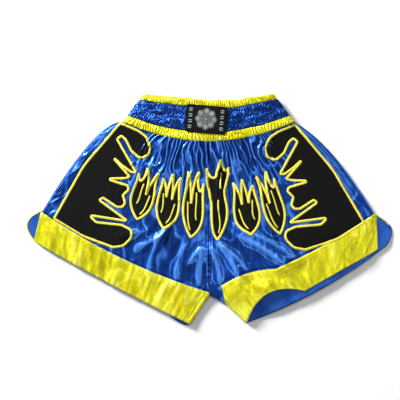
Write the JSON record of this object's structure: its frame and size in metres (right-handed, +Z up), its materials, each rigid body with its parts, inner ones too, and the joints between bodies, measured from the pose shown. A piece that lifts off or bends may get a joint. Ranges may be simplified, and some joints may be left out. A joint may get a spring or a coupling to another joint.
{
  "type": "boxing shorts",
  "caption": "Satin boxing shorts laid flat: wide flared legs with side slits, gathered elastic waistband, contrast hem bands and cut-out appliques.",
  "frame": {"origin": "middle of the footprint, on the surface that the shorts lie on", "axes": "+Z up from the surface, out of the front of the shorts; +Y towards the waist; +X towards the right of someone looking at the front"},
  "size_m": [0.627, 0.3898, 0.0197],
  "materials": {
    "blue_satin": "satin",
    "yellow_satin": "satin",
    "black_cloth": "matte",
    "yellow_thread": "satin stitch",
    "elastic_web": "matte",
    "label_cloth": "matte",
    "grey_thread": "embroidered"
  },
  "bodies": {
    "root": {"waist_casing_middle": "blue_satin", "crotch_gusset": "blue_satin", "front_panel_left": "blue_satin", "front_panel_right": "blue_satin", "back_panel_left": "blue_satin", "back_panel_right": "blue_satin", "side_seam_left": "blue_satin", "side_seam_right": "blue_satin", "inseam_left": "blue_satin", "inseam_right": "blue_satin", "waist_casing_top": "yellow_satin", "waist_casing_low": "yellow_satin", "hem_band_front_left": "yellow_satin", "hem_band_front_right": "yellow_satin", "hem_band_back_left": "yellow_satin", "hem_band_back_right": "yellow_satin", "applique_left": "black_cloth", "applique_right": "black_cloth", "flame_1": "black_cloth", "flame_2": "black_cloth", "flame_3": "black_cloth", "flame_4": "black_cloth", "flame_5": "black_cloth", "flame_6": "black_cloth", "applique_border_left": "yellow_thread", "applique_border_right": "yellow_thread", "flame_border_1": "yellow_thread", "flame_border_2": "yellow_thread", "flame_border_3": "yellow_thread", "flame_border_4": "yellow_thread", "flame_border_5": "yellow_thread", "flame_border_6": "yellow_thread", "elastic_1": "elastic_web", "elastic_2": "elastic_web", "elastic_3": "elastic_web", "elastic_4": "elastic_web", "waist_label": "label_cloth", "size_tab": "label_cloth", "label_emblem": "grey_thread"}
  },
  "joints": []
}
